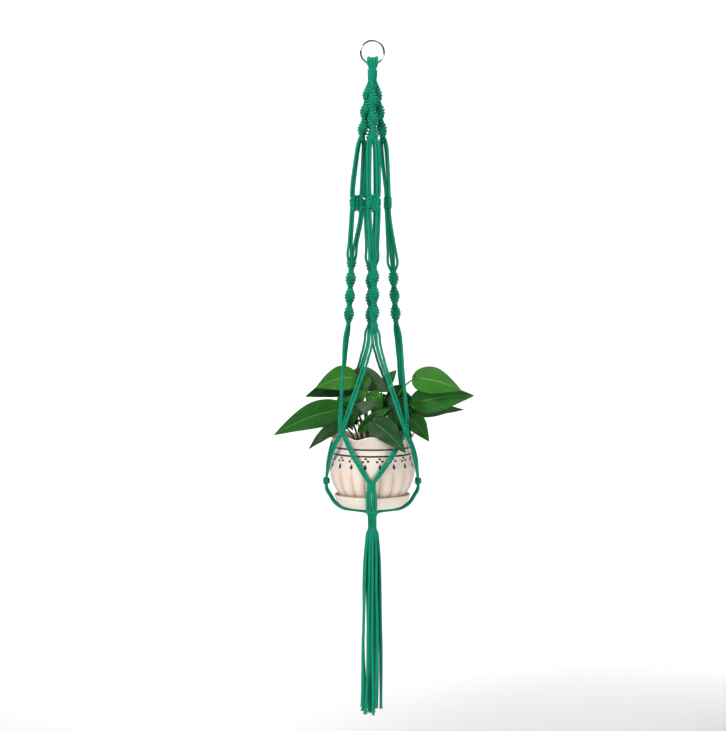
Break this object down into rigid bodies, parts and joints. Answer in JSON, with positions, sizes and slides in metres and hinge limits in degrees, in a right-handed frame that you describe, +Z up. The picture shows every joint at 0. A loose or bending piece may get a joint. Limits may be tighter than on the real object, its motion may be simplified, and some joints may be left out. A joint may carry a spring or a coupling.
{
  "type": "hanging macrame planter",
  "caption": "Macrame cord hanger with spiral legs, flat knots, a net cradle and a tassel, carrying a scalloped pot, saucer and leafy plant from a steel ring.",
  "frame": {"origin": "centre of the hanging ring", "axes": "+Z up along the hanger, +Y along the ring's hole, front leg towards -Y, +X right"},
  "size_m": [0.31, 0.1517, 1.0504],
  "materials": {
    "steel_ring": "polished",
    "cotton_cord": "braided cotton, matte",
    "cream_glaze": "satin",
    "soil": "loose potting soil",
    "leaf": "glossy leaf"
  },
  "bodies": {
    "ring": {"ring": "steel_ring"},
    "gathering": {"ring_folds": "cotton_cord", "top_wrap": "cotton_cord"},
    "hanger": {"leg_neck": "cotton_cord", "upper_spiral_right": "cotton_cord", "upper_spiral_back": "cotton_cord", "upper_spiral_left": "cotton_cord", "upper_spiral_front": "cotton_cord", "upper_cords": "cotton_cord", "flat_knot_right": "cotton_cord", "flat_knot_back": "cotton_cord", "flat_knot_left": "cotton_cord", "flat_knot_front": "cotton_cord", "middle_cords": "cotton_cord", "lower_spiral_right": "cotton_cord", "lower_spiral_back": "cotton_cord", "lower_spiral_left": "cotton_cord", "lower_spiral_front": "cotton_cord", "cradle_cords": "cotton_cord", "corner_knot_back_right": "cotton_cord", "corner_knot_back_left": "cotton_cord", "corner_knot_front_left": "cotton_cord", "corner_knot_front_right": "cotton_cord", "net_cords": "cotton_cord", "lower_knot_right": "cotton_cord", "lower_knot_back": "cotton_cord", "lower_knot_left": "cotton_cord", "lower_knot_front": "cotton_cord", "base_cords": "cotton_cord", "bottom_wrap": "cotton_cord", "saucer": "cream_glaze"},
    "planter": {"pot": "cream_glaze", "soil": "soil", "leaf_left_long": "leaf", "leaf_left_low": "leaf", "leaves_upper_left": "leaf", "leaf_centre_tall": "leaf", "leaf_back_small": "leaf", "leaf_right_high": "leaf", "leaf_right_long": "leaf", "leaf_right_dark": "leaf", "leaf_right_hanging": "leaf", "leaf_front_low": "leaf", "leaves_centre": "leaf"},
    "tassel": {"tassel_strand_01": "cotton_cord", "tassel_strand_02": "cotton_cord", "tassel_strand_03": "cotton_cord", "tassel_strand_04": "cotton_cord", "tassel_strand_05": "cotton_cord", "tassel_strand_06": "cotton_cord", "tassel_strand_07": "cotton_cord", "tassel_strand_08": "cotton_cord", "tassel_strand_09": "cotton_cord", "tassel_strand_10": "cotton_cord", "tassel_strand_11": "cotton_cord", "tassel_strand_12": "cotton_cord", "tassel_strand_13": "cotton_cord", "tassel_strand_14": "cotton_cord", "tassel_strand_15": "cotton_cord", "tassel_strand_16": "cotton_cord"}
  },
  "joints": [
    {"name": "ring_swing", "type": "hinge", "parent": "ring", "child": "gathering", "pos_m": [0, 0, -0.0179], "axis": [1, 0, 0], "range_deg": [-25, 25]},
    {"name": "leg_sway", "type": "hinge", "parent": "gathering", "child": "hanger", "pos_m": [0, 0, -0.0455], "axis": [0, 1, 0], "range_deg": [-12, 12]},
    {"name": "pot_lift", "type": "slide", "parent": "hanger", "child": "planter", "axis": [0, 0, 1], "range_m": [0, 0.003]},
    {"name": "tassel_swing", "type": "hinge", "parent": "hanger", "child": "tassel", "pos_m": [0, 0, -0.737], "axis": [1, 0, 0], "range_deg": [-20, 20]}
  ]
}
